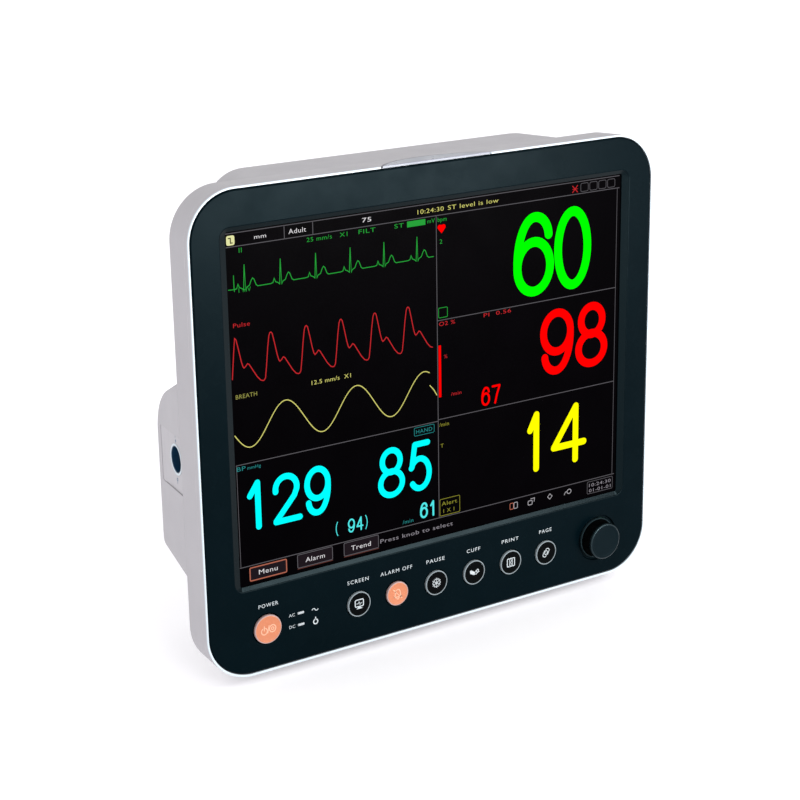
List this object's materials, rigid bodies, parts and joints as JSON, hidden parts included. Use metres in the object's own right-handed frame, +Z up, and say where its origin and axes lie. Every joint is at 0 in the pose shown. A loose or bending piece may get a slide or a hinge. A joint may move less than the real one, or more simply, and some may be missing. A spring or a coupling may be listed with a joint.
{
  "type": "patient monitor",
  "caption": "Bedside patient monitor: wide flat screen in a dark rounded bezel with a key row and turn knob, light grey shell with side pods, recorder, carry grip and feet.",
  "frame": {"origin": "on the floor under the centre of the bounding box, feet down", "axes": "+X to the right of someone facing the screen, +Y from the screen to the back, +Z up"},
  "size_m": [0.357, 0.1216, 0.3255],
  "materials": {
    "bezel": "fine satin moulded black with a blue-green cast",
    "trim": "smooth white",
    "housing": "warm light grey, fine spark texture",
    "light_lens": "translucent bluish white",
    "circuit_board": "green solder mask",
    "screen": "black display with a soft anti-glare sheen",
    "rubber": "matt black",
    "orange_key": "soft satin orange silicone",
    "dark_key": "satin black with a pale printed ring",
    "knob": "soft-touch black with a fine ribbed side",
    "well_ring": "thin bright rim",
    "steel": "plated",
    "brass": "turned",
    "grey_plastic": "dark grey moulded",
    "socket_blue": "dark blue moulded insert",
    "inlet_black": "black moulded",
    "paper": "thermal paper",
    "module_case": "shielded module"
  },
  "bodies": {
    "monitor": {"front_bezel": "bezel", "trim_ring": "trim", "alarm_lens": "light_lens", "alarm_board": "circuit_board", "mid_frame": "housing", "lcd_panel": "screen", "screen_gasket": "rubber", "key_board": "circuit_board", "light_pipe": "light_lens", "knob_well": "well_ring", "rotary_encoder": "steel", "encoder_nut": "brass", "rear_housing": "housing", "grip_cup": "grey_plastic", "socket_panel": "housing", "ecg_socket": "trim", "ecg_insert": "socket_blue", "sensor_panel": "housing", "spo2_socket": "socket_blue", "nibp_port": "brass", "temp_socket_1": "grey_plastic", "temp_socket_2": "grey_plastic", "recorder_frame": "grey_plastic", "recorder_hinge_pin": "steel", "paper_spindle": "grey_plastic", "thermal_head": "steel", "ac_inlet": "inlet_black", "network_port": "steel", "usb_port": "steel", "ground_post": "brass", "battery_bay": "grey_plastic", "battery_pack": "inlet_black", "battery_hinge_pin": "steel", "foot_front_left": "rubber", "foot_front_right": "rubber", "foot_rear_left": "rubber", "foot_rear_right": "rubber", "mount_plate": "steel", "chassis_plate": "steel", "main_board": "circuit_board", "power_supply": "circuit_board", "parameter_module": "module_case", "nibp_pump": "steel", "nibp_valve": "grey_plastic", "speaker": "inlet_black"},
    "power_key": {"power_key": "orange_key"},
    "display_key": {"display_key": "dark_key"},
    "alarm_reset_key": {"alarm_reset_key": "orange_key"},
    "freeze_key": {"freeze_key": "dark_key"},
    "nibp_key": {"nibp_key": "dark_key"},
    "record_key": {"record_key": "dark_key"},
    "view_key": {"view_key": "dark_key"},
    "encoder_push": {"encoder_plunger": "rubber"},
    "knob": {"rotary_knob": "knob", "encoder_shaft": "steel"},
    "recorder_door": {"recorder_door": "housing"},
    "platen": {"platen_roller": "rubber"},
    "paper_roll": {"paper_roll": "paper"},
    "battery_door": {"battery_door": "housing"},
    "fuse_drawer": {"fuse_drawer": "inlet_black"}
  },
  "joints": [
    {"name": "power_key_press", "type": "slide", "parent": "monitor", "child": "power_key", "axis": [0, 1, 0], "range_m": [0, 0.0012], "stiffness_N_per_m": 1200},
    {"name": "display_key_press", "type": "slide", "parent": "monitor", "child": "display_key", "axis": [0, 1, 0], "range_m": [0, 0.0012], "stiffness_N_per_m": 1200},
    {"name": "alarm_reset_key_press", "type": "slide", "parent": "monitor", "child": "alarm_reset_key", "axis": [0, 1, 0], "range_m": [0, 0.0012], "stiffness_N_per_m": 1200},
    {"name": "freeze_key_press", "type": "slide", "parent": "monitor", "child": "freeze_key", "axis": [0, 1, 0], "range_m": [0, 0.0012], "stiffness_N_per_m": 1200},
    {"name": "nibp_key_press", "type": "slide", "parent": "monitor", "child": "nibp_key", "axis": [0, 1, 0], "range_m": [0, 0.0012], "stiffness_N_per_m": 1200},
    {"name": "record_key_press", "type": "slide", "parent": "monitor", "child": "record_key", "axis": [0, 1, 0], "range_m": [0, 0.0012], "stiffness_N_per_m": 1200},
    {"name": "view_key_press", "type": "slide", "parent": "monitor", "child": "view_key", "axis": [0, 1, 0], "range_m": [0, 0.0012], "stiffness_N_per_m": 1200},
    {"name": "knob_press", "type": "slide", "parent": "monitor", "child": "encoder_push", "axis": [0, 1, 0], "range_m": [0, 0.0012], "stiffness_N_per_m": 3000},
    {"name": "knob_turn", "type": "hinge", "parent": "encoder_push", "child": "knob", "pos_m": [0.135, -0.05125, 0.0368], "axis": [0, -1, 0], "continuous": true},
    {"name": "recorder_door_hinge", "type": "hinge", "parent": "monitor", "child": "recorder_door", "pos_m": [0.17085, 0.00404, 0.12], "axis": [0, 0, 1], "range_deg": [0, 85]},
    {"name": "paper_roll_spin", "type": "hinge", "parent": "monitor", "child": "paper_roll", "pos_m": [0.15123, -0.00869, 0.12], "axis": [0, 0, 1], "continuous": true},
    {"name": "platen_spin", "type": "hinge", "parent": "recorder_door", "child": "platen", "pos_m": [0.17036, -0.01536, 0.12], "axis": [0, 0, 1], "continuous": true},
    {"name": "battery_door_hinge", "type": "hinge", "parent": "monitor", "child": "battery_door", "pos_m": [-0.043, 0.05845, 0.0565], "axis": [1, 0, 0], "range_deg": [0, 95]},
    {"name": "fuse_drawer_slide", "type": "slide", "parent": "monitor", "child": "fuse_drawer", "axis": [0, 1, 0], "range_m": [0, 0.012]}
  ],
  "couplings": [
    {"joint": "platen_spin", "follows": "paper_roll_spin", "ratio": -3.8333}
  ]
}
